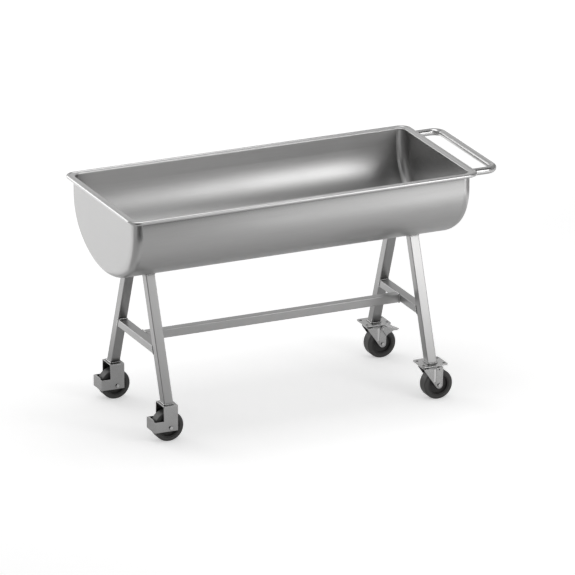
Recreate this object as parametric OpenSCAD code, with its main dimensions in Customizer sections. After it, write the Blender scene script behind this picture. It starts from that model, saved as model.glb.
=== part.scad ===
// Dough trough: a round-bottomed stainless tub on two leaning A-frames with four casters.
// Millimetres, +Z up. The origin is on the floor under the middle of the whole object,
// +X points to the push handle and the swivel casters.

/* [Trough] */
// Length over the rolled rim
trough_len = 1524; // [1300:1:1800]
// Width over the rolled rim
trough_w = 700; // [600:1:800]
// Height of the rim's top above the floor
rim_top = 958; // [900:1:1050]
// Depth from the rim's top to the outside of the bottom
tub_depth = 325; // [300:1:360]
// Height of the flat upper part of the side walls, below the rim's lip
side_h = 60; // [40:1:75]
// Outer radius of the pressed edge round each end wall
end_r = 38; // [25:1:50]
// Sheet thickness of shell and ends
sheet_t = 2; // [1.5:0.1:3]

/* [Rim] */
// Diameter of the rolled bead
bead_d = 16; // [12:0.5:20]
// Distance from a side wall's inner face to the bead's centre line
flange_w = 21; // [18:0.5:26]
// How far the bead's outside stands beyond each end wall
end_over = 23; // [20:0.5:28]
// Clear distance between the rim's lip and an end wall's inner face
lip_set = 2; // [1:0.5:4]
// Radius of the lip that turns from the opening to the flange
lip_r = 5; // [3:0.5:7]
// How far the flange lies below the bead's top
flange_drop = 2.5; // [1.5:0.1:4]
// Outer radius of the rim's corners, seen from above
rim_corner_r = 46; // [36:1:60]

/* [Push handle] */
// Outer diameter of the handle tube
handle_d = 30; // [25:1:34]
// Wall of the handle tube
handle_wall = 2; // [1.5:0.1:3]
// How far the handle stands out beyond the rim
handle_reach = 122; // [100:1:160]
// Distance between the centre lines of the two arms
handle_span = 538; // [420:1:560]
// Bend radius of the handle's corners, at the tube's centre line
handle_bend_r = 42; // [36:1:60]
// Depth of the handle's centre line below the rim's top
handle_drop = 21.5; // [20:0.5:30]

/* [Frame] */
// Distance between the two A-frames
frame_pitch = 1161; // [960:1:1250]
// Side of the square leg tube
leg_tube = 40; // [35:1:45]
// Wall of the leg, crossbar and stretcher tubes
tube_wall = 2; // [1.5:0.1:3]
// Corner radius of the frame tubes
tube_r = 3; // [2.2:0.1:4]
// Lean of each leg from upright, in degrees
leg_lean = 20; // [17:0.5:22]
// Distance between the feet of an A-frame, at the casters' top
foot_track = 540; // [500:1:580]
// Height of the crossbars' upper face
crossbar_top = 367.5; // [300:1:420]
// Height of the crossbar tube
crossbar_h = 32; // [25:1:40]
// Width of the stretcher tube
stretcher_w = 35; // [30:1:50]
// Height of the stretcher tube
stretcher_h = 36; // [30:1:50]

/* [Wheels] */
// Height of a caster from the floor to its top face
caster_h = 155; // [152:0.5:165]
// Diameter of the wheels
wheel_d = 125; // [120:0.5:126]
// Width of the wheels
wheel_w = 50; // [44:1:50]
// Radius of the tyre's shoulders
shoulder_r = 6; // [3:0.5:9]
// Thickness of the tyre on its centre
tyre_t = 16; // [12:0.5:20]
// Radial thickness of the wheel centre's outer band
band_t = 5; // [4:0.5:8]
// Thickness of the wheel centre's web
web_t = 20; // [14:1:26]
// Diameter of the hub boss
hub_d = 30; // [24:1:36]
// Length of the hub
hub_len = 52; // [51:0.5:54]
// Diameter of the axle bolt
axle_d = 8; // [6:0.5:10]
// Outer diameter of the sleeve that the wheel turns on
sleeve_d = 12.5; // [12:0.5:16]
// Width across the flats of the axle bolt's head and nut
axle_flats = 13; // [11:0.5:17]
// Height of the axle bolt's head
axle_head_h = 5; // [4:0.5:8]
// Height of the axle nut
axle_nut_h = 6.5; // [5:0.5:9]
// Outer diameter of the washers and spacers beside the hub
spacer_d = 22; // [19:1:28]

/* [Rigid casters] */
// Thickness of the bent fork plate
fork_t = 3; // [2.5:0.1:4]
// Length of the fork's upper box along the trough
box_len = 61; // [56:1:80]
// Inner width of the fork between its side plates
box_gap = 76; // [60:1:90]
// Height of the fork's lower edge above the floor
fork_low = 48; // [40:1:54]
// Height of the guard arms' upper edge above the floor
arm_top = 93; // [86:1:105]
// Distance from the leg's centre to the guard's front face
guard_reach = 70; // [67:1:80]
// How far the guard's middle stands above the arms
guard_rise = 6; // [3:0.5:12]
// Length of the bend relief at each end of the guard's raised middle
guard_relief = 9; // [5:0.5:14]

/* [Swivel casters] */
// Length of the top plate along the trough
plate_len = 114; // [110:1:125]
// Width of the top plate across the trough
plate_w = 102; // [96:1:115]
// Thickness of the top plate
plate_t = 4; // [3:0.5:5]
// Corner radius of the top plate
plate_r = 10; // [6:0.5:14]
// Hole spacing of the top plate along the trough
hole_dx = 90; // [86:0.5:94]
// Hole spacing of the top plate across the trough
hole_dy = 62; // [58:0.5:76]
// Diameter of the top plate's holes
hole_d = 11; // [8:0.5:12]
// Offset of the wheel's axle from the swivel axis
trail = 25.5; // [20:0.5:30]
// Gap between the underside of the top plate and the fork's crown
head_gap = 14; // [13:0.5:15]
// Inner width of the swivel fork
fork_gap = 56; // [55.5:0.1:60]
// How far the fork's crown reaches ahead of the swivel axis
crown_front = 40; // [38:1:46]
// Width of the fork's upright strip
strip_w = 30; // [24:1:32]
// Height of the pressed step between strip and cheek
strip_rise = 1.2; // [0.5:0.1:2]
// Outer diameter of the ball races
race_d = 68; // [64:1:72]
// Pitch diameter of the ball ring
ball_pitch = 54; // [50:1:56]
// Diameter of the balls
ball_d = 6; // [5:0.5:6.5]
// Number of balls
ball_n = 16; // [12:1:20]
// Diameter of the kingpin
kingpin_d = 12; // [10:0.5:14]
// Width across the flats of the kingpin nut
kingpin_flats = 19; // [17:0.5:21]
// Height of the kingpin nut
kingpin_nut_h = 6.5; // [5:0.5:7]

/* [Brake] */
// Height of the brake pin above the axle
brake_pin_up = 67; // [66.5:0.1:68]
// Diameter of the brake pin
brake_pin_d = 6; // [5:0.5:6.5]
// Plate thickness of the pedal
pedal_t = 2.5; // [2:0.1:3]
// Distance from the brake pin to the pedal's tip
pedal_len = 87; // [78:1:95]
// Slope of the released pedal, in degrees
pedal_slope = 21.5; // [18:0.5:24]
// Travel of the pedal from released to braked, in degrees
pedal_travel = 10; // [8:0.5:11]
// Width of the pedal at its tip
pedal_tip_w = 34; // [26:1:44]
// Depth of the pedal's side flanges beside the fork
pedal_flange = 34; // [26:1:38]
// Length of the brake shoe
shoe_len = 22; // [16:1:24]
// Width of the brake shoe
shoe_w = 40; // [30:1:46]

/* [Clearances] */
// Radial running clearance of shafts in their bores
run_gap = 0.08; // [0.03:0.01:0.1]
// Radial clearance of bolts in their holes
bolt_gap = 0.1; // [0.05:0.05:0.5]
// Gap between faces that turn past each other
face_gap = 0.3; // [0.2:0.05:0.5]

/* [Hidden] */
$fn = 96;
far = 2000;

// Places of the trough and the frames
trough_x = -handle_reach / 2;
half_len = trough_len / 2;
half_w = trough_w / 2;
frame_x = frame_pitch / 2;
foot_y = foot_track / 2;

// Tub: outer half sizes, and the three tangent arcs of its section. Where haunch and belly
// meet, the radius slopes 3 to 4, so every arc's centre lies on a plain number.
meet_sin = 0.6;
meet_cos = 0.8;
bead_r = bead_d / 2;
rim_over = flange_w + bead_r - sheet_t;
tub_half_len = half_len - end_over;
tub_half_w = half_w - rim_over;
flange_top = rim_top - flange_drop;
wall_top = flange_top - lip_r;
bead_z = rim_top - bead_r;
spring_z = wall_top - side_h;
belly_z = rim_top - tub_depth;
belly_d = spring_z - belly_z;
haunch_y = (tub_half_w - belly_d) * meet_sin / (meet_sin + meet_cos - 1);
haunch_r = tub_half_w - haunch_y;
belly_up = haunch_y * meet_cos / meet_sin;
belly_r = belly_d + belly_up;
shell_half_len = tub_half_len - end_r;

// Casters
axle_z = wheel_d / 2;
wheel_r = wheel_d / 2;
hub_play = face_gap;
sleeve_r = sleeve_d / 2;
plate_low = caster_h - plate_t;
crown_top = plate_low - head_gap;
crown_low = crown_top - fork_t;
ball_z = crown_top + head_gap / 2;
race_gap = ball_d / 2;
brake_pin_z = axle_z + brake_pin_up;
fork_half = fork_gap / 2 + fork_t;
strip_half = fork_half + strip_rise;
pedal_in = strip_half + face_gap;
pedal_out = pedal_in + pedal_t;
pin_head_r = brake_pin_d / 2 + 2;

// Rounded rectangle of straight sides and short corner facets, centred
function corner(cx, cy, r, a0, n) = [for (i = [0:n]) [cx + r * cos(a0 + 90 * i / n), cy + r * sin(a0 + 90 * i / n)]];
function rounded(w, h, r, n = 5) = concat(
    corner(w / 2 - r, h / 2 - r, r, 0, n),
    corner(r - w / 2, h / 2 - r, r, 90, n),
    corner(r - w / 2, r - h / 2, r, 180, n),
    corner(w / 2 - r, r - h / 2, r, 270, n));

module tube_section(w, h) {
    difference() {
        polygon(rounded(w, h, tube_r));
        polygon(rounded(w - 2 * tube_wall, h - 2 * tube_wall, tube_r - tube_wall));
    }
}

// Turns a drawing in (Y, Z) into a prism along X from x0 to x1
module along_x(x0, x1) {
    translate([x0, 0, 0]) rotate([90, 0, 90]) linear_extrude(x1 - x0) children();
}

// Turns a drawing in (X, Z) into a prism across Y from -half to +half
module across_y(half) {
    translate([0, half, 0]) rotate([90, 0, 0]) linear_extrude(2 * half) children();
}

// Puts a caster's part at its foot: side is -1 near, +1 far
module at_foot(x, side) {
    translate([trough_x + x, side * foot_y, 0]) children();
}

// The tub's section in (Y, Z), drawn inside its outer face by inset
module haunch_wedge(side) {
    polygon([
        [side * haunch_y, spring_z],
        [side * (haunch_y + far), spring_z],
        [side * (haunch_y + far), spring_z - far],
        [side * (haunch_y + far * meet_sin), spring_z - far * meet_cos]
    ]);
}

module belly_wedge() {
    polygon([
        [-haunch_y, spring_z],
        [-haunch_y - far * meet_sin, spring_z - far * meet_cos],
        [haunch_y + far * meet_sin, spring_z - far * meet_cos],
        [haunch_y, spring_z]
    ]);
}

module tub_section(inset, top = wall_top) {
    w = tub_half_w - inset;
    union() {
        translate([-w, spring_z]) square([2 * w, top - spring_z]);
        for (s = [-1, 1]) intersection() {
            translate([s * haunch_y, spring_z]) circle(r = haunch_r - inset);
            haunch_wedge(s);
        }
        intersection() {
            translate([0, spring_z + belly_up]) circle(r = belly_r - inset);
            belly_wedge();
        }
    }
}

// Rolled shell of the tub, between the two pressed ends
module trough_shell() {
    color("silver") translate([trough_x, 0, 0]) along_x(-shell_half_len, shell_half_len) difference() {
        tub_section(0);
        tub_section(sheet_t);
    }
}

// Quarter ring that turns the shell's face into the flat end
module edge_section(r_axis) {
    translate([r_axis, 0]) difference() {
        intersection() {
            circle(r = end_r);
            square(end_r);
        }
        circle(r = end_r - sheet_t);
    }
}

// Pressed end: a flat D with a rounded edge all along its sides and belly
module edge_ring(y, z, r) {
    translate([0, y, z]) rotate([90, 0, 90]) rotate_extrude() edge_section(r - end_r);
}

module end_wall() {
    union() {
        along_x(end_r - sheet_t, end_r) tub_section(end_r, flange_top - sheet_t);
        for (s = [-1, 1]) {
            translate([0, s * (tub_half_w - end_r), spring_z]) mirror([0, s < 0 ? 1 : 0, 0])
                linear_extrude(side_h) edge_section(0);
            intersection() {
                edge_ring(s * haunch_y, spring_z, haunch_r);
                along_x(-end_r, 2 * end_r) haunch_wedge(s);
            }
        }
        intersection() {
            edge_ring(0, spring_z + belly_up, belly_r);
            along_x(-end_r, 2 * end_r) belly_wedge();
        }
    }
}

module end_wall_left() {
    color("silver") translate([trough_x - shell_half_len, 0, 0]) mirror([1, 0, 0]) end_wall();
}

module end_wall_right() {
    color("silver") translate([trough_x + shell_half_len, 0, 0]) end_wall();
}

// Rounded rectangle in plan with true arcs
module plan(hx, hy, r) {
    square([2 * hx, 2 * (hy - r)], center = true);
    square([2 * (hx - r), 2 * hy], center = true);
    for (sx = [-1, 1], sy = [-1, 1]) translate([sx * (hx - r), sy * (hy - r)]) circle(r = r);
}

// Sweeps a section round a rounded rectangle: the section's x is measured outwards from its line
module frame_sweep(hx, hy, r) {
    for (s = [-1, 1]) {
        translate([r - hx, s * hy, 0]) rotate([90, 0, 90]) mirror([s < 0 ? 1 : 0, 0, 0])
            linear_extrude(2 * (hx - r)) children();
        translate([s * hx, hy - r, 0]) rotate([90, 0, 0]) mirror([s < 0 ? 1 : 0, 0, 0])
            linear_extrude(2 * (hy - r)) children();
    }
    for (q = [[1, 1, 0], [-1, 1, 90], [-1, -1, 180], [1, -1, 270]])
        translate([q[0] * (hx - r), q[1] * (hy - r), 0]) rotate(q[2])
            rotate_extrude(angle = 90) translate([r, 0]) children();
}

// Rolled rim: lip, flat flange and round bead
module rim() {
    in_x = tub_half_len - sheet_t - lip_r - lip_set;
    in_y = tub_half_w - sheet_t;
    in_r = end_r - sheet_t;
    bead_x = half_len - bead_r;
    bead_y = half_w - bead_r;
    color("gainsboro") translate([trough_x, 0, 0]) union() {
        translate([0, 0, flange_top - sheet_t]) linear_extrude(sheet_t) difference() {
            plan(bead_x, bead_y, rim_corner_r - bead_r);
            plan(in_x + lip_r, in_y + lip_r, in_r + lip_r);
        }
        frame_sweep(in_x, in_y, in_r) translate([lip_r, wall_top]) difference() {
            intersection() {
                circle(r = lip_r);
                translate([-lip_r, 0]) square(lip_r);
            }
            circle(r = lip_r - sheet_t);
        }
        frame_sweep(bead_x, bead_y, rim_corner_r - bead_r)
            translate([0, bead_z]) circle(r = bead_r);
    }
}

// Push handle: one bent tube, its arms cut to the end wall and round the bead
module handle_line(r) {
    bar_x = half_len + handle_reach - handle_d / 2;
    arm_y = handle_span / 2;
    for (s = [-1, 1]) {
        translate([tub_half_len, s * arm_y, 0]) rotate([0, 90, 0])
            cylinder(r = r, h = bar_x - handle_bend_r - tub_half_len);
        translate([bar_x - handle_bend_r, s * (arm_y - handle_bend_r), 0]) rotate(s < 0 ? 270 : 0)
            rotate_extrude(angle = 90) translate([handle_bend_r, 0]) circle(r = r);
    }
    translate([bar_x, handle_bend_r - arm_y, 0]) rotate([-90, 0, 0])
        cylinder(r = r, h = 2 * (arm_y - handle_bend_r));
}

module push_handle() {
    color("lightgray") translate([trough_x, 0, 0]) difference() {
        translate([0, 0, rim_top - handle_drop]) difference() {
            handle_line(handle_d / 2);
            handle_line(handle_d / 2 - handle_wall);
        }
        translate([half_len - bead_r, 0, bead_z]) rotate([90, 0, 0])
            cylinder(r = bead_r, h = trough_w, center = true);
        translate([tub_half_len - sheet_t, -half_w, flange_top - sheet_t])
            cube([end_over - bead_r + sheet_t, trough_w, far]);
    }
}

// Leg: square tube, cut level at the caster and coped to the tub
module leg(x, side) {
    long = (wall_top - caster_h) / cos(leg_lean);
    color("lightgray") difference() {
        at_foot(x, side) translate([0, 0, caster_h]) rotate([side * leg_lean, 0, 0])
            translate([0, 0, -leg_tube]) linear_extrude(long) tube_section(leg_tube, leg_tube);
        translate([-far, -far, caster_h - far]) cube([2 * far, 2 * far, far]);
        along_x(-far, far) tub_section(0);
    }
}

module leg_left_near() { leg(-frame_x, -1); }
module leg_left_far() { leg(-frame_x, 1); }
module leg_right_near() { leg(frame_x, -1); }
module leg_right_far() { leg(frame_x, 1); }

// Crossbar: tube between the inner faces of an A-frame's legs
function leg_inner(z) = foot_y - (z - caster_h) * tan(leg_lean) - leg_tube / 2 / cos(leg_lean);

module crossbar(x) {
    low = crossbar_top - crossbar_h;
    color("lightgray") translate([trough_x + x, 0, 0]) intersection() {
        translate([0, foot_track / 2, (crossbar_top + low) / 2]) rotate([90, 0, 0])
            linear_extrude(foot_track) tube_section(leg_tube, crossbar_h);
        along_x(-leg_tube, leg_tube) polygon([
            [-leg_inner(low), low], [leg_inner(low), low],
            [leg_inner(crossbar_top), crossbar_top], [-leg_inner(crossbar_top), crossbar_top]
        ]);
    }
}

module crossbar_left() { crossbar(-frame_x); }
module crossbar_right() { crossbar(frame_x); }

module stretcher() {
    inner = frame_x - leg_tube / 2;
    color("lightgray") translate([trough_x, 0, 0]) along_x(-inner, inner)
        translate([0, crossbar_top - stretcher_h / 2]) tube_section(stretcher_w, stretcher_h);
}

// Rigid fork: a bent channel with an L-shaped side, closed in front by a guard
module rigid_fork(side) {
    half = box_gap / 2 + fork_t;
    color("silver") at_foot(-frame_x, side) difference() {
        union() {
            intersection() {
                along_x(-guard_reach, box_len / 2) difference() {
                    translate([0, caster_h / 2]) polygon(rounded(2 * half, caster_h, fork_t));
                    translate([-box_gap / 2, -fork_t]) square([box_gap, caster_h]);
                }
                across_y(half + fork_t) polygon([
                    [box_len / 2, fork_low], [box_len / 2, caster_h],
                    [-box_len / 2, caster_h], [-box_len / 2, arm_top],
                    [-guard_reach, arm_top], [-guard_reach, fork_low]
                ]);
            }
            along_x(-guard_reach, fork_t - guard_reach) polygon([
                [-half, fork_low], [half, fork_low], [half, arm_top],
                [half - guard_relief, arm_top], [half - guard_relief - guard_rise, arm_top + guard_rise],
                [guard_rise + guard_relief - half, arm_top + guard_rise],
                [guard_relief - half, arm_top], [-half, arm_top]
            ]);
        }
        translate([0, 0, axle_z]) rotate([90, 0, 0])
            cylinder(r = axle_d / 2 + bolt_gap, h = 4 * half, center = true);
    }
}

module rigid_fork_near() { rigid_fork(-1); }
module rigid_fork_far() { rigid_fork(1); }

// Axle bolt with its head on the near side, through plates that reach out to half
module axle_bolt(half) {
    reach = half + axle_nut_h + 1;
    color("lightgray") translate([0, 0, axle_z]) rotate([-90, 0, 0]) {
        translate([0, 0, -half - axle_head_h]) cylinder(r = axle_flats / sqrt(3), h = axle_head_h, $fn = 6);
        translate([0, 0, -half]) cylinder(r = axle_d / 2, h = half + reach);
    }
}

module axle_nut(half) {
    color("silver") translate([0, half, axle_z]) rotate([-90, 0, 0]) difference() {
        cylinder(r = axle_flats / sqrt(3), h = axle_nut_h, $fn = 6);
        translate([0, 0, -1]) cylinder(r = axle_d / 2, h = axle_nut_h + 2);
    }
}

// Sleeve clamped between the fork's sides, on which the wheel turns
module sleeve(gap) {
    color("gray") translate([0, 0, axle_z]) rotate([90, 0, 0]) difference() {
        cylinder(r = sleeve_r, h = gap, center = true);
        cylinder(r = axle_d / 2 + bolt_gap, h = gap + 2, center = true);
    }
}

// Pair of rings on the sleeve, from the fork's sides to the hub
module hub_rings(gap) {
    ring = (gap - hub_len) / 2 - hub_play;
    color("silver") for (s = [-1, 1])
        translate([0, s * (gap - ring) / 2, axle_z]) rotate([90, 0, 0]) difference() {
            cylinder(r = spacer_d / 2, h = ring, center = true);
            cylinder(r = sleeve_r + bolt_gap, h = ring + 2, center = true);
        }
}

// Tyre: a ring with rounded shoulders
module tyre() {
    half = wheel_w / 2;
    color("dimgray") translate([0, 0, axle_z]) rotate([90, 0, 0]) rotate_extrude() difference() {
        union() {
            translate([wheel_r - tyre_t, -half]) square([tyre_t - shoulder_r, wheel_w]);
            translate([wheel_r - tyre_t, shoulder_r - half]) square([tyre_t, wheel_w - 2 * shoulder_r]);
            for (s = [-1, 1]) translate([wheel_r - shoulder_r, s * (half - shoulder_r)]) circle(r = shoulder_r);
        }
        translate([0, -wheel_w]) square([wheel_r - tyre_t, 2 * wheel_w]);
    }
}

// Wheel centre: outer band, recessed web with a raised ring, and the hub
module wheel_centre() {
    out_r = wheel_r - tyre_t;
    ring_r = (out_r - band_t + hub_d / 2) / 2;
    band_half = wheel_w / 2 - 2;
    color("darkslategray") translate([0, 0, axle_z]) rotate([90, 0, 0]) rotate_extrude() union() {
        translate([sleeve_r + run_gap, -hub_len / 2]) square([hub_d / 2 - sleeve_r - run_gap, hub_len]);
        translate([hub_d / 2 - 1, -web_t / 2]) square([out_r - hub_d / 2, web_t]);
        translate([out_r - band_t, -band_half]) square([band_t, 2 * band_half]);
        translate([ring_r - 2, -web_t / 2 - 1.5]) square([4, web_t + 3]);
    }
}

// Rigid casters
module rigid_axle_near() { at_foot(-frame_x, -1) axle_bolt(box_gap / 2 + fork_t); }
module rigid_axle_far() { at_foot(-frame_x, 1) axle_bolt(box_gap / 2 + fork_t); }
module rigid_nut_near() { at_foot(-frame_x, -1) axle_nut(box_gap / 2 + fork_t); }
module rigid_nut_far() { at_foot(-frame_x, 1) axle_nut(box_gap / 2 + fork_t); }
module rigid_sleeve_near() { at_foot(-frame_x, -1) sleeve(box_gap); }
module rigid_sleeve_far() { at_foot(-frame_x, 1) sleeve(box_gap); }
module rigid_spacers_near() { at_foot(-frame_x, -1) hub_rings(box_gap); }
module rigid_spacers_far() { at_foot(-frame_x, 1) hub_rings(box_gap); }
module rigid_tyre_near() { at_foot(-frame_x, -1) tyre(); }
module rigid_tyre_far() { at_foot(-frame_x, 1) tyre(); }
module rigid_wheel_near() { at_foot(-frame_x, -1) wheel_centre(); }
module rigid_wheel_far() { at_foot(-frame_x, 1) wheel_centre(); }

// Top plate of a swivel caster, with four open bolt holes
module top_plate(side) {
    color("silver") at_foot(frame_x, side) translate([0, 0, plate_low]) difference() {
        linear_extrude(plate_t) plan(plate_len / 2, plate_w / 2, plate_r);
        translate([0, 0, -1]) cylinder(r = kingpin_d / 2, h = plate_t + 2);
        for (sx = [-1, 1], sy = [-1, 1])
            translate([sx * hole_dx / 2, sy * hole_dy / 2, -1]) cylinder(r = hole_d / 2, h = plate_t + 2);
    }
}

module top_plate_near() { top_plate(-1); }
module top_plate_far() { top_plate(1); }

// Ball race: a ring with a round groove, from z0 to z1
module race(side, z0, z1) {
    in_r = ball_pitch - race_d / 2;
    color("darkgray") at_foot(frame_x, side) rotate_extrude() difference() {
        translate([in_r, z0]) square([race_d / 2 - in_r, z1 - z0]);
        translate([ball_pitch / 2, ball_z]) circle(r = ball_d / 2 + face_gap);
    }
}

module upper_race_near() { race(-1, ball_z + race_gap / 2, plate_low); }
module upper_race_far() { race(1, ball_z + race_gap / 2, plate_low); }
module lower_race_near() { race(-1, crown_top, ball_z - race_gap / 2); }
module lower_race_far() { race(1, crown_top, ball_z - race_gap / 2); }

module balls(side) {
    color("white") at_foot(frame_x, side) for (i = [0:ball_n - 1])
        rotate(360 * i / ball_n) translate([ball_pitch / 2, 0, ball_z]) sphere(d = ball_d, $fn = 32);
}

module balls_near() { balls(-1); }
module balls_far() { balls(1); }

// Kingpin: flush in the top plate, hanging through the fork's crown
module kingpin(side) {
    low = crown_low - face_gap - kingpin_nut_h - 1;
    color("gray") at_foot(frame_x, side) translate([0, 0, low]) cylinder(r = kingpin_d / 2, h = caster_h - low);
}

module kingpin_near() { kingpin(-1); }
module kingpin_far() { kingpin(1); }

module kingpin_nut(side) {
    low = crown_low - face_gap - kingpin_nut_h;
    color("gray") at_foot(frame_x, side) translate([0, 0, low]) difference() {
        cylinder(r = kingpin_flats / sqrt(3), h = kingpin_nut_h, $fn = 6);
        translate([0, 0, -1]) cylinder(r = kingpin_d / 2, h = kingpin_nut_h + 2);
    }
}

module kingpin_nut_near() { kingpin_nut(-1); }
module kingpin_nut_far() { kingpin_nut(1); }

// Swivel fork: a bent channel whose cheeks taper to the axle
strip_x1 = trail + strip_w / 2 + 3;
strip_x0 = strip_x1 - strip_w;
eye_r = strip_w / 2;

module cheek_outline() {
    difference() {
        union() {
            translate([trail, axle_z]) circle(r = eye_r);
            polygon([
                [-crown_front, crown_top], [strip_x1, crown_top],
                [trail + eye_r, axle_z], [trail - eye_r * cos(30), axle_z - eye_r * sin(30)],
                [-crown_front, crown_low - fork_t]
            ]);
        }
        translate([trail, axle_z]) circle(r = axle_d / 2 + bolt_gap);
        translate([trail, brake_pin_z]) circle(r = brake_pin_d / 2);
    }
}

module strip_outline() {
    difference() {
        union() {
            translate([trail, axle_z]) circle(r = eye_r);
            polygon([
                [strip_x0, crown_top - fork_t], [strip_x1, crown_top - fork_t],
                [trail + eye_r, axle_z], [trail - eye_r, axle_z]
            ]);
        }
        translate([trail, axle_z]) circle(r = axle_d / 2 + bolt_gap);
        translate([trail, brake_pin_z]) circle(r = brake_pin_d / 2);
    }
}

module swivel_fork(side) {
    color("silver") at_foot(frame_x, side) union() {
        translate([0, 0, crown_low]) linear_extrude(fork_t) difference() {
            translate([(strip_x1 - crown_front) / 2, 0])
                polygon(rounded(strip_x1 + crown_front, 2 * fork_half, fork_t));
            circle(r = kingpin_d / 2 + run_gap);
        }
        for (s = [-1, 1]) {
            translate([0, s * (fork_half - fork_t / 2), 0]) across_y(fork_t / 2) cheek_outline();
            translate([0, s * (fork_half + strip_rise / 2), 0]) across_y(strip_rise / 2) strip_outline();
        }
    }
}

module swivel_fork_near() { swivel_fork(-1); }
module swivel_fork_far() { swivel_fork(1); }

module at_axle(side) { at_foot(frame_x + trail, side) children(); }

module swivel_axle_near() { at_axle(-1) axle_bolt(strip_half); }
module swivel_axle_far() { at_axle(1) axle_bolt(strip_half); }
module swivel_nut_near() { at_axle(-1) axle_nut(strip_half); }
module swivel_nut_far() { at_axle(1) axle_nut(strip_half); }
module swivel_sleeve_near() { at_axle(-1) sleeve(fork_gap); }
module swivel_sleeve_far() { at_axle(1) sleeve(fork_gap); }
module swivel_washers_near() { at_axle(-1) hub_rings(fork_gap); }
module swivel_washers_far() { at_axle(1) hub_rings(fork_gap); }
module swivel_tyre_near() { at_axle(-1) tyre(); }
module swivel_tyre_far() { at_axle(1) tyre(); }
module swivel_wheel_near() { at_axle(-1) wheel_centre(); }
module swivel_wheel_far() { at_axle(1) wheel_centre(); }

// Brake pedal, drawn in (X, Z) about the brake pin
pedal_root = strip_x1 - trail + face_gap + 1;
pedal_shoulder = pedal_len - pedal_tip_w / 2 - 4;
pedal_lift = 5;
boss_r = pin_head_r + 4;
flange_end = pedal_shoulder - pedal_t;
function pedal_z(x) = pedal_lift + (pedal_root - x) * tan(pedal_slope);
function flange_z(x) = pedal_z(x) - pedal_t / 2;

module at_brake_pin() {
    at_axle(1) translate([0, 0, brake_pin_z]) children();
}

module flange_outline() {
    difference() {
        union() {
            circle(r = boss_r);
            polygon([
                [0, flange_z(0)], [flange_end, flange_z(flange_end)],
                [flange_end, flange_z(flange_end) - pedal_t],
                [flange_end * 0.8, flange_z(flange_end * 0.8) - 2 * pedal_t],
                [pedal_root + 6, -pedal_flange * 0.75], [pedal_root - 3, -pedal_flange],
                [0, -boss_r]
            ]);
        }
        circle(r = brake_pin_d / 2 + run_gap);
    }
}

module brake_pedal() {
    color("silver") at_brake_pin() union() {
        for (s = [-1, 1])
            translate([0, s * (pedal_in + pedal_t / 2), 0]) across_y(pedal_t / 2) flange_outline();
        intersection() {
            across_y(pedal_out) polygon([
                [pedal_root, pedal_z(pedal_root)], [pedal_len, pedal_z(pedal_len)],
                [pedal_len, pedal_z(pedal_len) - pedal_t], [pedal_root, pedal_z(pedal_root) - pedal_t]
            ]);
            translate([0, 0, -pedal_len]) linear_extrude(2 * pedal_len) polygon(concat(
                [[0, -pedal_out], [pedal_shoulder, -pedal_out]],
                corner(pedal_len - pedal_tip_w / 2, 0, pedal_tip_w / 2, -90, 5),
                corner(pedal_len - pedal_tip_w / 2, 0, pedal_tip_w / 2, 0, 5),
                [[pedal_shoulder, pedal_out], [0, pedal_out]]
            ));
        }
    }
}

// Brake shoe: a pad under the pedal, hollowed to the tyre as it lies when braked
module brake_shoe() {
    wheel_x = brake_pin_up * sin(pedal_travel);
    wheel_z = -brake_pin_up * cos(pedal_travel);
    shoe_t = 8;
    x0 = pedal_root + 4;
    x1 = x0 + shoe_len;
    color("dimgray") at_brake_pin() difference() {
        across_y(shoe_w / 2) polygon([
            [x0, pedal_z(x0) - pedal_t], [x1, pedal_z(x1) - pedal_t],
            [x1, pedal_z(x1) - pedal_t - shoe_t], [x0, pedal_z(x0) - pedal_t - shoe_t]
        ]);
        translate([wheel_x, 0, wheel_z]) rotate([90, 0, 0])
            cylinder(r = wheel_r + face_gap, h = 2 * shoe_w, center = true);
    }
}

// Brake pin: riveted in the fork's cheeks, with a head outside each pedal flange
module brake_pin() {
    head = 2;
    reach = pedal_out + face_gap;
    color("gray") at_brake_pin() rotate([90, 0, 0]) {
        cylinder(r = brake_pin_d / 2, h = 2 * reach, center = true);
        for (s = [-1, 1]) translate([0, 0, s * (reach + head / 2)]) cylinder(r = pin_head_r, h = head, center = true);
    }
}

trough_shell();
end_wall_left();
end_wall_right();
rim();
push_handle();
leg_left_near();
leg_left_far();
leg_right_near();
leg_right_far();
crossbar_left();
crossbar_right();
stretcher();
rigid_fork_near();
rigid_fork_far();
rigid_axle_near();
rigid_axle_far();
rigid_nut_near();
rigid_nut_far();
rigid_sleeve_near();
rigid_sleeve_far();
rigid_spacers_near();
rigid_spacers_far();
rigid_tyre_near();
rigid_tyre_far();
rigid_wheel_near();
rigid_wheel_far();
top_plate_near();
top_plate_far();
upper_race_near();
upper_race_far();
kingpin_near();
kingpin_far();
kingpin_nut_near();
kingpin_nut_far();
balls_near();
balls_far();
lower_race_near();
lower_race_far();
swivel_fork_near();
swivel_fork_far();
swivel_axle_near();
swivel_axle_far();
swivel_nut_near();
swivel_nut_far();
swivel_sleeve_near();
swivel_sleeve_far();
swivel_washers_near();
swivel_washers_far();
swivel_tyre_near();
swivel_tyre_far();
swivel_wheel_near();
swivel_wheel_far();
brake_pedal();
brake_shoe();
brake_pin();
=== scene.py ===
from math import cos, pi, radians, sin, sqrt, tan

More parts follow.
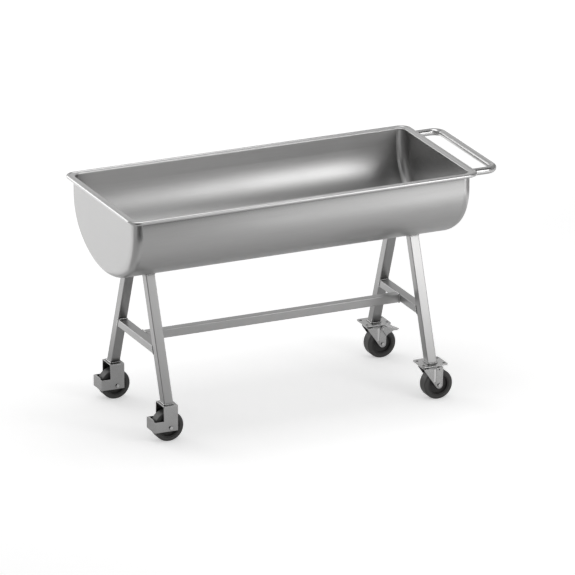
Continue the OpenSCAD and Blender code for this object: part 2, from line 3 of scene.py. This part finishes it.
import bmesh
import bpy
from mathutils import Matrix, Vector


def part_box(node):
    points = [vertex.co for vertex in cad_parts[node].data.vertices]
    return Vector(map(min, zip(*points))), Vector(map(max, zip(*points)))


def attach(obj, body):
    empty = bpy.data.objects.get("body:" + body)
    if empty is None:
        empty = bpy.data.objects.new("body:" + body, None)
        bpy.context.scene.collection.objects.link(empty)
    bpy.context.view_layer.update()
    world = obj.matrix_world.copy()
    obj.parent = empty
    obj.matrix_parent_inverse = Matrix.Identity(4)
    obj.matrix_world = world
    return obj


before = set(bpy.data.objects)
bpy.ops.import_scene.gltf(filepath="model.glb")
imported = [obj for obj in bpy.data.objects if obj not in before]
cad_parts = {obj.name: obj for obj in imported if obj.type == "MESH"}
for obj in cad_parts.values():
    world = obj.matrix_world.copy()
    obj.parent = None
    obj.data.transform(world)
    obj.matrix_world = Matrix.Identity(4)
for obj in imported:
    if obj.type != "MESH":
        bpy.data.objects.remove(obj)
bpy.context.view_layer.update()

# Camera
# The trough stands on a pale studio floor, seen from its left front and from above,
# through a very long lens, so that its edges stay almost parallel in the picture.
trough_x = -0.061
camera_place = Vector((trough_x - 12.4958, -27.7002, 11.1309))
camera_yaw = radians(24.40)
camera_pitch = radians(19.33)
picture_px = 575
focal_px = 8000

camera_data = bpy.data.cameras.new("camera")
camera_data.sensor_width = 36
camera_data.lens = focal_px / picture_px * camera_data.sensor_width
camera_data.clip_end = 200
camera = bpy.data.objects.new("camera", camera_data)
ahead = Vector((
    sin(camera_yaw) * cos(camera_pitch),
    cos(camera_yaw) * cos(camera_pitch),
    -sin(camera_pitch),
))
camera.location = camera_place
camera.rotation_euler = ahead.to_track_quat("-Z", "Y").to_euler()
bpy.context.scene.collection.objects.link(camera)
bpy.context.scene.camera = camera


# Tub
# Shell and ends are 2 mm stainless sheet. The shell is rolled to a round belly, the ends are
# pressed with a large rounded edge, and both are brushed to a satin grain along the sheet.
def link(tree, source, target):
    tree.links.new(source, target)


def group_node(tree, group, **values):
    node = tree.nodes.new("ShaderNodeGroup")
    node.node_tree = group
    for name, value in values.items():
        node.inputs[name.replace("_", " ")].default_value = value
    return node


def math_node(tree, operation, first, second):
    node = tree.nodes.new("ShaderNodeMath")
    node.operation = operation
    for socket, value in zip(node.inputs, (first, second)):
        if isinstance(value, (int, float)):
            socket.default_value = value
        else:
            link(tree, value, socket)
    return node.outputs[0]


def mix_colour(tree, share, low, high):
    node = tree.nodes.new("ShaderNodeMix")
    node.data_type = "RGBA"
    for name, value in (("Factor", share), ("A", low), ("B", high)):
        socket = node.inputs[name]
        if isinstance(value, (int, float, tuple)):
            socket.default_value = value
        else:
            link(tree, value, socket)
    return node.outputs["Result"]


def noise_node(tree, place, scale, detail):
    node = tree.nodes.new("ShaderNodeTexNoise")
    node.inputs["Scale"].default_value = scale
    node.inputs["Detail"].default_value = detail
    link(tree, place, node.inputs["Vector"])
    return node.outputs["Fac"]


def new_group(name, inputs, outputs):
    group = bpy.data.node_groups.new(name, "ShaderNodeTree")
    for socket, kind, value in inputs:
        made = group.interface.new_socket(socket, in_out="INPUT", socket_type=kind)
        made.default_value = value
    for socket, kind in outputs:
        group.interface.new_socket(socket, in_out="OUTPUT", socket_type=kind)
    return group, group.nodes.new("NodeGroupInput"), group.nodes.new("NodeGroupOutput")


def make_brushing():
    group, given, result = new_group(
        "Brushed grain",
        [("Stretch", "NodeSocketVector", (1, 1, 1)), ("Depth", "NodeSocketFloat", 0.1),
         ("Rounding", "NodeSocketFloat", 0.0005)],
        [("Streaks", "NodeSocketFloat"), ("Normal", "NodeSocketVector")],
    )
    place = group.nodes.new("ShaderNodeTexCoord")
    mapping = group.nodes.new("ShaderNodeMapping")
    link(group, place.outputs["Object"], mapping.inputs["Vector"])
    link(group, given.outputs["Stretch"], mapping.inputs["Scale"])
    fine_share = 0.65
    fine = noise_node(group, mapping.outputs["Vector"], scale=60, detail=3)
    broad = noise_node(group, mapping.outputs["Vector"], scale=14, detail=2)
    fine_part = math_node(group, "MULTIPLY", fine, fine_share)
    broad_part = math_node(group, "MULTIPLY", broad, 1 - fine_share)
    streaks = math_node(group, "ADD", fine_part, broad_part)
    bevel = group.nodes.new("ShaderNodeBevel")
    bevel.samples = 6
    link(group, given.outputs["Rounding"], bevel.inputs["Radius"])
    bump = group.nodes.new("ShaderNodeBump")
    bump.inputs["Distance"].default_value = 0.0004
    link(group, given.outputs["Depth"], bump.inputs["Strength"])
    link(group, streaks, bump.inputs["Height"])
    link(group, bevel.outputs["Normal"], bump.inputs["Normal"])
    link(group, streaks, result.inputs["Streaks"])
    link(group, bump.outputs["Normal"], result.inputs["Normal"])
    return group


def make_handling():
    group, given, result = new_group(
        "Handling marks",
        [("Size", "NodeSocketFloat", 3.0), ("Amount", "NodeSocketFloat", 0.5)],
        [("Smudge", "NodeSocketFloat")],
    )
    place = group.nodes.new("ShaderNodeTexCoord")
    cloud = group.nodes.new("ShaderNodeTexNoise")
    cloud.inputs["Detail"].default_value = 4
    link(group, place.outputs["Object"], cloud.inputs["Vector"])
    link(group, given.outputs["Size"], cloud.inputs["Scale"])
    spread = group.nodes.new("ShaderNodeMapRange")
    spread.inputs["From Min"].default_value = 0.4
    spread.inputs["From Max"].default_value = 0.7
    link(group, cloud.outputs["Fac"], spread.inputs["Value"])
    smudge = math_node(group, "MULTIPLY", spread.outputs["Result"], given.outputs["Amount"])
    link(group, smudge, result.inputs["Smudge"])
    return group


# Painted shade: ambient occlusion darkens the colour in hollows, gaps, corners and under parts.
def make_shading():
    group, given, result = new_group(
        "Crevice shade",
        [("Reach", "NodeSocketFloat", 0.012), ("Amount", "NodeSocketFloat", 0.6)],
        [("Shade", "NodeSocketFloat")],
    )
    hollow_shade = group.nodes.new("ShaderNodeAmbientOcclusion")
    hollow_shade.samples = 12
    link(group, given.outputs["Reach"], hollow_shade.inputs["Distance"])
    open_from = 0.94
    closed = math_node(group, "SUBTRACT", open_from, hollow_shade.outputs["AO"])
    closed = math_node(group, "MAXIMUM", closed, 0.0)
    dark = math_node(group, "MULTIPLY", closed, given.outputs["Amount"])
    shade = math_node(group, "MAXIMUM", math_node(group, "SUBTRACT", 1.0, dark), 0.0)
    link(group, shade, result.inputs["Shade"])
    return group


brushing = make_brushing()
handling = make_handling()
shading = make_shading()


def grey(value, warmth=0.0):
    return (value * (1 + warmth), value, value * (1 - warmth), 1)


def steel(name, tone, roughness, stretch, depth, rounding=0.0006, contrast=0.06,
          reach=0.012, shade=1.6, across=None):
    """Bare steel: brushed streaks, faint smudges and painted shade in hollows; across is a
    shell's axis.
    """
    warmth = 0.004
    streak_rough, smudge_rough = 0.03, 0.04
    material = bpy.data.materials.new(name)
    material.use_nodes = True
    tree = material.node_tree
    surface = tree.nodes["Principled BSDF"]
    surface.inputs["Metallic"].default_value = 1
    grain = group_node(tree, brushing, Stretch=stretch, Depth=depth, Rounding=rounding)
    marked = group_node(tree, handling, Size=4.0, Amount=0.5)
    dull, bright = grey(tone - contrast, warmth), grey(tone + contrast, warmth)
    colour = mix_colour(tree, grain.outputs["Streaks"], dull, bright)
    # Painted shade: the colour fades towards near black where the surface is closed in.
    hollow_shade = group_node(tree, shading, Reach=reach, Amount=shade)
    colour = mix_colour(tree, hollow_shade.outputs["Shade"], grey(0.02), colour)
    link(tree, colour, surface.inputs["Base Color"])
    streaked = math_node(tree, "MULTIPLY", grain.outputs["Streaks"], streak_rough)
    smudged = math_node(tree, "MULTIPLY", marked.outputs["Smudge"], smudge_rough)
    rough = math_node(tree, "ADD", streaked, roughness - streak_rough / 2)
    rough = math_node(tree, "ADD", rough, smudged)
    link(tree, rough, surface.inputs["Roughness"])
    link(tree, grain.outputs["Normal"], surface.inputs["Normal"])
    if across:
        surface.inputs["Anisotropic"].default_value = 0.75
        tangent = tree.nodes.new("ShaderNodeTangent")
        tangent.direction_type = "RADIAL"
        tangent.axis = across
        link(tree, tangent.outputs["Tangent"], surface.inputs["Tangent"])
    return material


def dress(material, *nodes):
    for node in nodes:
        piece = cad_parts[node]
        piece.data.materials.clear()
        piece.data.materials.append(material)


# Its long-reaching shade darkens the belly round the leg tops and the inner corners: painted
# shade.
sheet_steel = steel(
    "brushed_sheet", tone=0.51, roughness=0.31, stretch=(0.25, 9, 9), depth=0.03,
    rounding=0.001, contrast=0.04, reach=0.10, shade=2.0, across="X",
)
end_steel = steel(
    "brushed_ends", tone=0.53, roughness=0.30, stretch=(9, 0.35, 9), depth=0.01,
    rounding=0.001, contrast=0.02,
)
dress(sheet_steel, "trough_shell")
dress(end_steel, "end_wall_left", "end_wall_right")

# Rim
# One rolled edge runs round the mouth: an inner lip, a flat flange and a round bead.
# It is welded on, ground flush and polished brighter than the sheet.
rim_steel = steel(
    "polished_rim", tone=0.64, roughness=0.31, stretch=(1.5, 1.5, 6), depth=0.002,
    rounding=0.0, contrast=0.015,
)
dress(rim_steel, "rim")

# Push handle
# A 30 mm stainless tube is bent to a U, and its two arms are welded to the right end's rim.
# The tube is polished and the weld collars are left as laid.
tube_steel = steel(
    "polished_tube", tone=0.60, roughness=0.24, stretch=(4, 4, 4), depth=0.002,
    rounding=0.0008, contrast=0.015,
)
dress(tube_steel, "push_handle")


def piece_from(name, mesh):
    data = bpy.data.meshes.new(name)
    mesh.to_mesh(data)
    mesh.free()
    data.polygons.foreach_set("use_smooth", [True] * len(data.polygons))
    piece = bpy.data.objects.new(name, data)
    bpy.context.scene.collection.objects.link(piece)
    return piece


def bead_along(name, points, radius, closed=True):
    """A weld: a ridge with laid ripples, swept along the joint's points."""
    ripple = 0.0035
    ripple_steps = 4
    crest = 0.12
    steep = 0.9
    sides = 8
    path = []
    count = len(points) if closed else len(points) - 1
    for i in range(count):
        start, end = points[i], points[(i + 1) % len(points)]
        steps = max(2, round((end - start).length / (ripple / ripple_steps)))
        path += [start.lerp(end, k / steps) for k in range(steps)]
    if not closed:
        path.append(points[-1])
    mesh = bmesh.new()
    rings = []
    run = 0.0
    total = len(path)
    for i, point in enumerate(path):
        before = path[i - 1] if closed or i > 0 else point
        after = path[(i + 1) % total] if closed or i < total - 1 else point
        along = (after - before).normalized()
        run += (point - before).length
        swell = radius * (1 - crest + crest * abs(sin(pi * run / ripple)))
        up = Vector((0, 0, 1)) if abs(along.z) < steep else Vector((1, 0, 0))
        across = along.cross(up).normalized()
        up = across.cross(along)
        turns = [2 * pi * k / sides for k in range(sides)]
        rings.append([
            mesh.verts.new(point + (across * cos(turn) + up * sin(turn)) * swell)
            for turn in turns
        ])
    spans = total if closed else total - 1
    for i in range(spans):
        near, far = rings[i], rings[(i + 1) % total]
        for k in range(sides):
            mesh.faces.new((near[k], near[(k + 1) % sides], far[(k + 1) % sides], far[k]))
    if not closed:
        mesh.faces.new(rings[0][::-1])
        mesh.faces.new(rings[-1])
    bmesh.ops.recalc_face_normals(mesh, faces=mesh.faces)
    return piece_from(name, mesh)


SIDES = {"near": -1, "far": 1}
weld_steel = steel(
    "weld_bead", tone=0.74, roughness=0.22, stretch=(6, 6, 6), depth=0.06, contrast=0.05,
)
rim_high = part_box("rim")[1]
handle_low, handle_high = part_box("push_handle")
handle_r = (handle_high.z - handle_low.z) / 2
handle_z = handle_high.z - handle_r
collar_x = rim_high.x - 0.001
collar_r = 0.0028
collar_start, collar_sweep, collar_steps = radians(200), radians(220), 19
for label, side in SIDES.items():
    arm_y = side * (handle_high.y - handle_r)
    ring = []
    for k in range(collar_steps + 1):
        turn = collar_start + collar_sweep * k / collar_steps + pi / 2
        y = arm_y + handle_r * cos(turn)
        z = handle_z + handle_r * sin(turn)
        ring.append(Vector((collar_x, y, z)))
    collar = bead_along(f"handle_weld_{label}", ring, collar_r, closed=False)
    collar.data.materials.append(weld_steel)
    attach(collar, "frame")

# Frame
# Two A-frames of 40 mm square tube lean in to the belly, each tied by a crossbar, and one
# stretcher joins the crossbars. Tube ends are coped and welded all round.
# The legs, stretcher and crossbars are one steel; their tones differ to stand in for how light
# falls on each, as painted light and shade.
leg_steel = steel(
    "frame_tube", tone=0.40, roughness=0.31, stretch=(6, 1, 0.5), depth=0.003,
    rounding=0.0, contrast=0.015,
)
bar_steel = steel(
    "frame_bars", tone=0.48, roughness=0.32, stretch=(0.6, 6, 6), depth=0.003,
    rounding=0.0, contrast=0.015,
)
cross_steel = steel(
    "frame_crossbars", tone=0.44, roughness=0.32, stretch=(6, 0.6, 6), depth=0.003,
    rounding=0.0, contrast=0.015,
)
dress(leg_steel, "leg_left_near", "leg_left_far", "leg_right_near", "leg_right_far")
dress(bar_steel, "stretcher")
dress(cross_steel, "crossbar_left", "crossbar_right")

leg_lean = radians(20)
leg_tube = 0.040
foot_y = 0.270
caster_h = 0.155
belly_r = 0.3885
belly_z = 1.0215
weld_r = 0.0032
weld_inset = 0.0005
foot_weld_rise = 0.0012
belly_weld_out = 0.0018
tube_corner = 0.003
frame_half = 0.5805
frame_x = {"left": trough_x - frame_half, "right": trough_x + frame_half}


def round_corners(half_u, half_v, radius, steps=4):
    corners = []
    for quarter, (su, sv) in enumerate(((1, 1), (-1, 1), (-1, -1), (1, -1))):
        for k in range(steps + 1):
            turn = (quarter + k / steps) * pi / 2
            corners.append((
                su * (half_u - radius) + radius * cos(turn),
                sv * (half_v - radius) + radius * sin(turn),
            ))
    return corners


def leg_top_weld(x, side):
    up = Vector((0, -side * sin(leg_lean), cos(leg_lean)))
    out = Vector((0, side * cos(leg_lean), sin(leg_lean)))
    foot = Vector((x, side * foot_y, caster_h))
    centre = Vector((x, 0, belly_z))
    ring = []
    for u, v in round_corners(leg_tube / 2, leg_tube / 2, tube_corner):
        start = foot + Vector((u, 0, 0)) + out * v - centre
        flat = Vector((0, start.y, start.z))
        half_b = flat.dot(up)
        ring_r = belly_r + belly_weld_out
        reach = -half_b - sqrt(half_b ** 2 - flat.length_squared + ring_r ** 2)
        ring.append(start + centre + up * reach)
    return ring


def leg_foot_weld(x, side):
    half_y = leg_tube / 2 / cos(leg_lean)
    return [
        Vector((x + u, side * foot_y + v, caster_h + foot_weld_rise))
        for u, v in round_corners(leg_tube / 2, half_y, tube_corner)
    ]


def crossbar_weld(name, side):
    low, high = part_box(name)
    middle = (low + high) / 2
    ring = []
    for u, v in round_corners((high.x - low.x) / 2, (high.z - low.z) / 2, tube_corner):
        z = middle.z + v
        y = foot_y - (z - caster_h) * tan(leg_lean) - leg_tube / 2 / cos(leg_lean)
        ring.append(Vector((middle.x + u, side * (y - weld_inset), z)))
    return ring


def stretcher_weld(x):
    low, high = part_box("stretcher")
    middle = (low + high) / 2
    return [
        Vector((x, middle.y + u, middle.z + v))
        for u, v in round_corners((high.y - low.y) / 2, (high.z - low.z) / 2, tube_corner)
    ]


stretcher_low, stretcher_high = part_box("stretcher")
welds = {}
for end, x in frame_x.items():
    for label, side in SIDES.items():
        welds[f"leg_weld_{end}_{label}"] = leg_top_weld(x, side)
        welds[f"foot_weld_{end}_{label}"] = leg_foot_weld(x, side)
        welds[f"crossbar_weld_{end}_{label}"] = crossbar_weld(f"crossbar_{end}", side)
welds["stretcher_weld_left"] = stretcher_weld(stretcher_low.x + weld_inset)
welds["stretcher_weld_right"] = stretcher_weld(stretcher_high.x - weld_inset)
for name, ring in welds.items():
    bead = bead_along(name, ring, weld_r)
    bead.data.materials.append(weld_steel)
    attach(bead, "frame")

# Rigid casters
# Each is a bent plate channel welded under the leg, with a guard in front. The wheel turns
# on a sleeve that the axle bolt clamps between the channel's sides.
plate_steel = steel(
    "fork_plate", tone=0.52, roughness=0.24, stretch=(3, 3, 3), depth=0.01,
    rounding=0.002, contrast=0.02, reach=0.03,
)
bolt_steel = steel(
    "fastener", tone=0.75, roughness=0.10, stretch=(5, 5, 5), depth=0.01,
    rounding=0.0008, contrast=0.02,
)
dress(plate_steel, "rigid_fork_near", "rigid_fork_far")
for kind in ("axle", "nut", "sleeve", "spacers"):
    dress(bolt_steel, *[f"rigid_{kind}_{label}" for label in SIDES])

# Wheels
# A hard rubber tyre is moulded on a dark nylon centre, with a recessed web, a raised ring
# and a plain hub. The tread is a little scuffed and dusty where it runs.
def moulded(name, colour, roughness, pore_scale, relief_depth, dust_colour, dust):
    """Moulded rubber or plastic: fine pores and patches of dust."""
    pore_rough = 0.2
    material = bpy.data.materials.new(name)
    material.use_nodes = True
    tree = material.node_tree
    surface = tree.nodes["Principled BSDF"]
    place = tree.nodes.new("ShaderNodeTexCoord")
    pores = noise_node(tree, place.outputs["Object"], scale=pore_scale, detail=5)
    marked = group_node(tree, handling, Size=28.0, Amount=dust)
    dusted = mix_colour(tree, marked.outputs["Smudge"], colour, dust_colour)
    link(tree, dusted, surface.inputs["Base Color"])
    rough = math_node(tree, "MULTIPLY", pores, pore_rough)
    rough = math_node(tree, "ADD", rough, roughness - pore_rough / 2)
    link(tree, rough, surface.inputs["Roughness"])
    relief = tree.nodes.new("ShaderNodeBump")
    relief.inputs["Strength"].default_value = relief_depth
    relief.inputs["Distance"].default_value = 0.0005
    link(tree, pores, relief.inputs["Height"])
    link(tree, relief.outputs["Normal"], surface.inputs["Normal"])
    return material


tyre_rubber = moulded(
    "tyre_rubber", colour=(0.072, 0.071, 0.070, 1), roughness=0.38, pore_scale=900,
    relief_depth=0.12, dust_colour=(0.07, 0.068, 0.064, 1), dust=0.5,
)
wheel_nylon = moulded(
    "wheel_plastic", colour=(0.050, 0.049, 0.048, 1), roughness=0.36, pore_scale=700,
    relief_depth=0.08, dust_colour=(0.055, 0.054, 0.052, 1), dust=0.35,
)
for caster in ("rigid", "swivel"):
    dress(tyre_rubber, *[f"{caster}_tyre_{label}" for label in SIDES])
    dress(wheel_nylon, *[f"{caster}_wheel_{label}" for label in SIDES])

# Swivel casters
# A plate whose four punched holes are lined with dark sleeves, a painted shade, carries two
# grooved races with balls between.
# A kingpin and nut hold the bent fork; a pressed bend, given a near-white painted highlight, runs
# up each cheek.
swivel_steel = steel(
    "swivel_plate", tone=0.62, roughness=0.26, stretch=(3, 3, 3), depth=0.01,
    rounding=0.0016, contrast=0.02,
)
race_steel = steel(
    "bearing_steel", tone=0.42, roughness=0.22, stretch=(5, 5, 5), depth=0.03, contrast=0.04,
)
for kind in ("top_plate", "swivel_fork"):
    dress(swivel_steel, *[f"{kind}_{label}" for label in SIDES])
for kind in ("upper_race", "lower_race", "balls"):
    dress(race_steel, *[f"{kind}_{label}" for label in SIDES])
for kind in (
    "kingpin", "kingpin_nut", "swivel_axle", "swivel_nut", "swivel_sleeve", "swivel_washers",
):
    dress(bolt_steel, *[f"{kind}_{label}" for label in SIDES])

# Painted highlight: the bend's near-white tone stands in for a bright reflection.
bend_highlight_steel = steel(
    "painted_highlight_bend", tone=0.95, roughness=0.30, stretch=(3, 3, 3), depth=0.01,
    rounding=0.0, contrast=0.02, reach=0.004,
)
# Painted shade: dark sleeves line the holes' walls so that the holes read dark.
hole_shade_steel = steel(
    "painted_hole_shade", tone=0.05, roughness=0.45, stretch=(9, 9, 9), depth=0.05, contrast=0.03,
)
foot_x = frame_x["right"]
hole_r = 0.0054
hole_x, hole_y = 0.045, 0.031
hole_sides = 24
hole_inset = 0.0002
for label, side in SIDES.items():
    plate_low, plate_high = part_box(f"top_plate_{label}")
    mesh = bmesh.new()
    for dx, dy in ((-hole_x, -hole_y), (hole_x, -hole_y), (-hole_x, hole_y), (hole_x, hole_y)):
        tops, lows = [], []
        for k in range(hole_sides):
            turn = 2 * pi * k / hole_sides
            x = foot_x + dx + hole_r * cos(turn)
            y = side * foot_y + dy + hole_r * sin(turn)
            tops.append(mesh.verts.new((x, y, plate_high.z - hole_inset)))
            lows.append(mesh.verts.new((x, y, plate_low.z + hole_inset)))
        for k in range(hole_sides):
            after = (k + 1) % hole_sides
            mesh.faces.new((tops[k], tops[after], lows[after], lows[k]))
    hole_shade_lining = piece_from(f"hole_shade_linings_{label}", mesh)
    hole_shade_lining.data.materials.append(hole_shade_steel)
    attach(hole_shade_lining, "frame")

bend_x = foot_x + 0.0075
bend_half, bend_rise = 0.0052, 0.0012
bend_drop, bend_length = 0.004, 0.055
bend_rows, bend_sides = 12, 10
for label, side in SIDES.items():
    fork_low, fork_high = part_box(f"swivel_fork_{label}")
    for face in (-1, 1):
        mesh = bmesh.new()
        rows = []
        face_y = side * foot_y + face * ((fork_high.y - fork_low.y) / 2 - bend_rise)
        for j in range(bend_rows + 1):
            z = fork_high.z - bend_drop - bend_length * j / bend_rows
            swell = bend_rise * (1 - (j / bend_rows) ** 3)
            turns = [pi * k / bend_sides for k in range(bend_sides + 1)]
            outline = [
                (bend_x + bend_half * cos(turn), face_y + face * swell * sin(turn), z)
                for turn in turns
            ]
            rows.append([mesh.verts.new(point) for point in outline])
        for upper, lower in zip(rows, rows[1:]):
            for k in range(bend_sides):
                mesh.faces.new((upper[k], upper[k + 1], lower[k + 1], lower[k]))
        bmesh.ops.recalc_face_normals(mesh, faces=mesh.faces)
        bend = piece_from(f"cheek_bend_{label}_{'front' if face < 0 else 'back'}", mesh)
        bend.data.materials.append(bend_highlight_steel)
        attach(bend, f"swivel_{label}")

# Brake
# The far swivel caster's pedal is bent plate on a riveted pin. Pressed down, its rubber shoe
# meets the tyre.
dress(swivel_steel, "brake_pedal")
dress(bolt_steel, "brake_pin")
dress(tyre_rubber, "brake_shoe")

# Studio
# A white floor runs out past the picture under a pale sky, with large soft lamps behind, at the
# front right and above. Grey cards and a dark corner, seen in the steel only, give it its bands.
floor_glow = 0.44
floor_half = 40


def plane(name, corners):
    mesh = bpy.data.meshes.new(name)
    mesh.from_pydata(corners, [], [(0, 1, 2, 3)])
    item = bpy.data.objects.new(name, mesh)
    bpy.context.scene.collection.objects.link(item)
    return item


def floor_plane(name, x0, x1, y0, y1, z):
    return plane(name, [(x0, y0, z), (x1, y0, z), (x1, y1, z), (x0, y1, z)])


def only_reflected(item):
    item.visible_camera = False
    item.visible_diffuse = False
    item.visible_shadow = False


floor = floor_plane("floor", -floor_half, floor_half, -floor_half, floor_half, 0)
floor_paint = bpy.data.materials.new("floor_paint")
floor_paint.use_nodes = True
floor_tree = floor_paint.node_tree
floor_surface = floor_tree.nodes["Principled BSDF"]
floor_surface.inputs["Base Color"].default_value = grey(0.92)
floor_surface.inputs["Roughness"].default_value = 0.9
floor_surface.inputs["Specular IOR Level"].default_value = 0.1
floor_surface.inputs["Emission Color"].default_value = grey(1)
rays = floor_tree.nodes.new("ShaderNodeLightPath")
seen = rays.outputs["Is Camera Ray"]
seen = math_node(floor_tree, "MAXIMUM", seen, rays.outputs["Is Glossy Ray"])
seen = math_node(floor_tree, "MAXIMUM", seen, rays.outputs["Is Transmission Ray"])
place = floor_tree.nodes.new("ShaderNodeTexCoord")
axes = floor_tree.nodes.new("ShaderNodeSeparateXYZ")
far = floor_tree.nodes.new("ShaderNodeMapRange")
far.inputs["From Min"].default_value = 1.5
far.inputs["From Max"].default_value = 5.0
far.inputs["To Max"].default_value = 0.3
link(floor_tree, place.outputs["Object"], axes.inputs["Vector"])
link(floor_tree, axes.outputs["Y"], far.inputs["Value"])
even = math_node(floor_tree, "MULTIPLY", rays.outputs["Is Camera Ray"], far.outputs["Result"])
glow = math_node(floor_tree, "ADD", math_node(floor_tree, "MULTIPLY", seen, floor_glow), even)
link(floor_tree, glow, floor_surface.inputs["Emission Strength"])
floor_paint.cycles.emission_sampling = "NONE"
floor.data.materials.append(floor_paint)

for name, tone, glow, x0, x1, y0, y1, z in (
    ("front_card", 0.44, 0, -2.0, 1.5, -4.5, -2.6, 0.002),
    ("side_card", 0.75, 0.12, -2.0, 0.4, -2.6, -1.45, 0.002),
    ("band_card", 0.90, 0.9, 0.5, 1.2, -2.35, -1.75, 0.002),
    ("bright_card", 0.90, 1.8, 1.2, 2.6, -2.35, -1.75, 0.002),
    ("corner_card", 0.07, 0, -3.0, -0.3, -3.7, -1.9, 0.004),
    ("fade_card", 0.62, 0.05, -5.0, -1.0, -1.9, 0.1, 0.003),
    ("right_card", 0.40, 0, 2.6, 4.4, -2.4, 0.8, 0.002),
    ("under_card", 0.76, 0.08, -1.0, 1.9, -1.45, 1.0, 0.003),
    ("high_card", 0.02, 0, 0.9, 3.4, -2.9, -0.5, 3.1),
):
    card_paint = bpy.data.materials.new(name)
    card_paint.use_nodes = True
    card_surface = card_paint.node_tree.nodes["Principled BSDF"]
    card_surface.inputs["Base Color"].default_value = grey(tone)
    card_surface.inputs["Roughness"].default_value = 0.8
    card_surface.inputs["Emission Color"].default_value = grey(1)
    card_surface.inputs["Emission Strength"].default_value = glow
    card_paint.cycles.emission_sampling = "NONE"
    card = floor_plane(name, x0, x1, y0, y1, z)
    card.data.materials.append(card_paint)
    only_reflected(card)

wall_height = 4.2
wall = plane("corner_wall", [
    (-2.9, -1.9, 0), (-0.7, -3.3, 0), (-0.7, -3.3, wall_height), (-2.9, -1.9, wall_height),
])
wall.data.materials.append(bpy.data.materials["corner_card"])
only_reflected(wall)

sky = bpy.data.worlds.new("sky")
sky.use_nodes = True
sky_tree = sky.node_tree
sky_place = sky_tree.nodes.new("ShaderNodeTexCoord")
sky_axes = sky_tree.nodes.new("ShaderNodeSeparateXYZ")
sky_ramp = sky_tree.nodes.new("ShaderNodeValToRGB")
link(sky_tree, sky_place.outputs["Generated"], sky_axes.inputs["Vector"])
link(sky_tree, sky_axes.outputs["Z"], sky_ramp.inputs["Fac"])
link(sky_tree, sky_ramp.outputs["Color"], sky_tree.nodes["Background"].inputs["Color"])
sky_ramp.color_ramp.elements[0].color = grey(0.27)
sky_ramp.color_ramp.elements[1].color = grey(0.44)
bpy.context.scene.world = sky


def lamp(name, place, aim, width, height, glow):
    data = bpy.data.lights.new(name, "AREA")
    data.shape = "RECTANGLE"
    data.size = width
    data.size_y = height
    data.energy = glow * pi * width * height
    item = bpy.data.objects.new(name, data)
    item.location = place
    item.rotation_euler = (Vector(aim) - Vector(place)).to_track_quat("-Z", "Y").to_euler()
    bpy.context.scene.collection.objects.link(item)


lamp("back_lamp", (0.9, 4.0, 2.5), aim=(0.4, 0, 0.8), width=5.4, height=1.7, glow=0.38)
lamp("left_lamp", (-2.7, 4.0, 2.1), aim=(-0.8, 0, 0.95), width=2.4, height=2.7, glow=1.7)
lamp("front_lamp", (1.8, -2.9, 1.95), aim=(0.5, 0.3, 1.2), width=0.85, height=1.5, glow=3.7)
lamp("side_lamp", (0.95, -2.9, 1.95), aim=(-0.2, 0.3, 1.2), width=0.85, height=1.5, glow=1.4)
lamp("top_lamp", (0.0, 0.1, 4.5), aim=(0, 0, 0.6), width=3.4, height=1.8, glow=2.2)

bpy.context.scene.view_settings.view_transform = "Standard"
